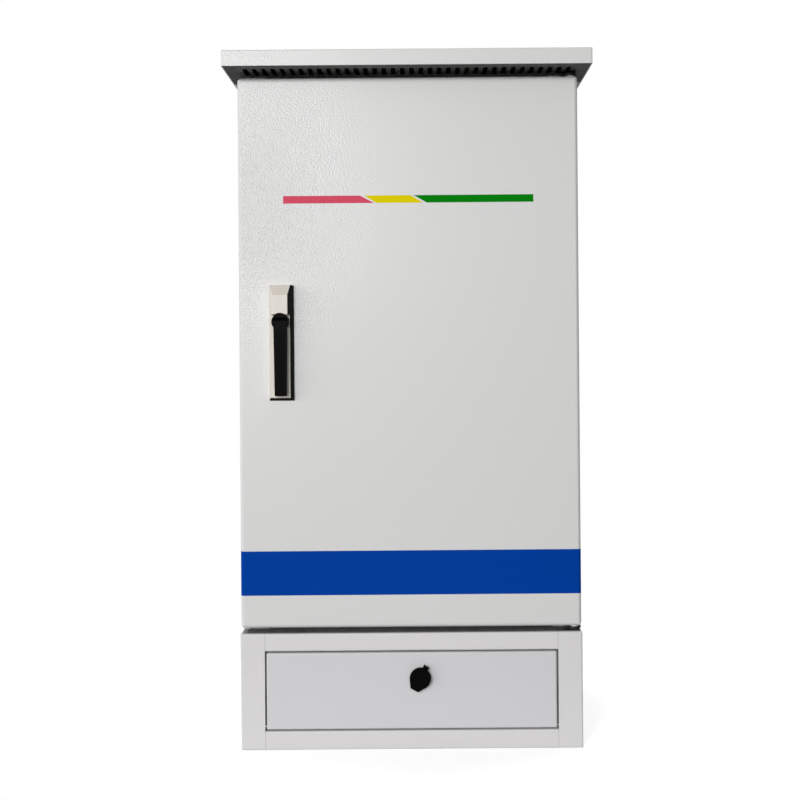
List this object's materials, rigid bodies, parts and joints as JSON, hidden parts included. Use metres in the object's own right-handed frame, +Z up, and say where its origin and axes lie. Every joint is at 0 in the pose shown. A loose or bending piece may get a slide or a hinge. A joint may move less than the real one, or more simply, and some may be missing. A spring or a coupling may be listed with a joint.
{
  "type": "control cabinet",
  "caption": "Outdoor sheet-steel control cabinet with a hinged door on pivot pins, a swing handle, a vented overhanging roof, and a plinth with a lockable drop-down flap.",
  "frame": {"origin": "middle of the four anchor holes, on the plinth's underside", "axes": "+X to the right seen from the door, +Y from the door to the back, +Z up"},
  "size_m": [0.53, 0.46, 1.013],
  "materials": {
    "cabinet_paint": "satin powder coat",
    "zinc_plated_steel": "zinc plated",
    "galvanised_sheet": "galvanised",
    "device_housing": "fine texture",
    "black_plastic": "moulded",
    "grommet_rubber": "matt",
    "foam_gasket": "foam",
    "bush_plastic": "moulded",
    "supply_case": "anodised",
    "switch_case": "fine texture",
    "controller_shell": "fine texture",
    "earth_copper": "bare copper",
    "earth_brass": "bare",
    "insulator_red": "moulded",
    "pocket_plastic": "moulded",
    "handle_nickel": "satin nickel",
    "handle_coating": "satin black",
    "hinge_black": "black oxide",
    "lock_casting": "satin black",
    "lock_chrome": "polished",
    "cap_plastic": "moulded"
  },
  "bodies": {
    "enclosure": {"plinth_left_side": "cabinet_paint", "plinth_right_side": "cabinet_paint", "plinth_top_rail": "cabinet_paint", "plinth_bottom_rail": "cabinet_paint", "plinth_back_panel": "cabinet_paint", "plinth_bolts": "zinc_plated_steel", "flap_hinge_lugs": "cabinet_paint", "left_side_panel": "cabinet_paint", "right_side_panel": "cabinet_paint", "back_panel": "cabinet_paint", "top_panel": "cabinet_paint", "floor_panel": "cabinet_paint", "cable_grommets": "grommet_rubber", "upper_hinge_bracket": "hinge_black", "lower_hinge_bracket": "hinge_black", "hinge_pins": "zinc_plated_steel", "roof_cap": "cabinet_paint", "front_eave": "cabinet_paint", "roof_bolts": "zinc_plated_steel", "mounting_plate": "galvanised_sheet", "plate_studs": "zinc_plated_steel", "upper_device_rail": "zinc_plated_steel", "lower_device_rail": "zinc_plated_steel", "main_breaker": "device_housing", "surge_arrester": "device_housing", "socket_outlet": "device_housing", "power_supply": "supply_case", "network_switch": "switch_case", "terminal_blocks": "device_housing", "earth_bar": "earth_copper", "earth_bar_insulators": "insulator_red", "earth_bar_screws": "earth_brass", "equipment_shelf": "galvanised_sheet", "shelf_brackets": "zinc_plated_steel", "controller_case": "controller_shell", "fan_frame": "black_plastic", "fan_guard": "zinc_plated_steel"},
    "door": {"door_panel": "cabinet_paint", "door_gasket": "foam_gasket", "door_left_stiffener": "cabinet_paint", "door_right_stiffener": "cabinet_paint", "document_pocket": "pocket_plastic", "hinge_bushes": "bush_plastic", "handle_housing": "handle_nickel", "handle_screws": "zinc_plated_steel"},
    "lock_spindle": {"handle_head": "handle_coating", "latch_tongue": "zinc_plated_steel", "tongue_screw": "zinc_plated_steel"},
    "lever": {"handle_lever": "handle_coating", "lever_pin": "zinc_plated_steel"},
    "flap": {"flap_panel": "cabinet_paint", "flap_hinge_pins": "zinc_plated_steel", "cam_lock_body": "lock_casting", "cam_lock_nut": "zinc_plated_steel"},
    "flap_cam": {"cam_lock_cylinder": "lock_chrome", "cam_lock_tongue": "zinc_plated_steel"},
    "cap": {"dust_cap": "cap_plastic"},
    "rotor": {"fan_rotor": "black_plastic"},
    "toggle": {"breaker_toggle": "black_plastic"}
  },
  "joints": [
    {"name": "door_swing", "type": "hinge", "parent": "enclosure", "child": "door", "pos_m": [0.24, -0.18, 0.58], "axis": [0, 0, 1], "range_deg": [0, 115]},
    {"name": "handle_turn", "type": "hinge", "parent": "door", "child": "lock_spindle", "pos_m": [-0.187, -0.19, 0.6255], "axis": [0, -1, 0], "range_deg": [0, 90]},
    {"name": "lever_lift", "type": "hinge", "parent": "lock_spindle", "child": "lever", "pos_m": [-0.187, -0.2083, 0.6255], "axis": [-1, 0, 0], "range_deg": [0, 40]},
    {"name": "flap_swing", "type": "hinge", "parent": "enclosure", "child": "flap", "pos_m": [0, -0.1955, 0.0338], "axis": [1, 0, 0], "range_deg": [0, 95]},
    {"name": "flap_lock_turn", "type": "hinge", "parent": "flap", "child": "flap_cam", "pos_m": [0.0125, -0.2, 0.105], "axis": [0, -1, 0], "range_deg": [0, 90]},
    {"name": "cap_flip", "type": "hinge", "parent": "flap", "child": "cap", "pos_m": [0.02057, -0.2068, 0.12019], "axis": [-0.8829, 0, 0.4695], "range_deg": [0, 120]},
    {"name": "fan_spin", "type": "hinge", "parent": "enclosure", "child": "rotor", "pos_m": [0, 0.0185, 0.97], "axis": [0, 0, 1], "continuous": true},
    {"name": "toggle_throw", "type": "hinge", "parent": "enclosure", "child": "toggle", "pos_m": [0, 0.097, 0.83], "axis": [1, 0, 0], "range_deg": [0, 60]}
  ]
}
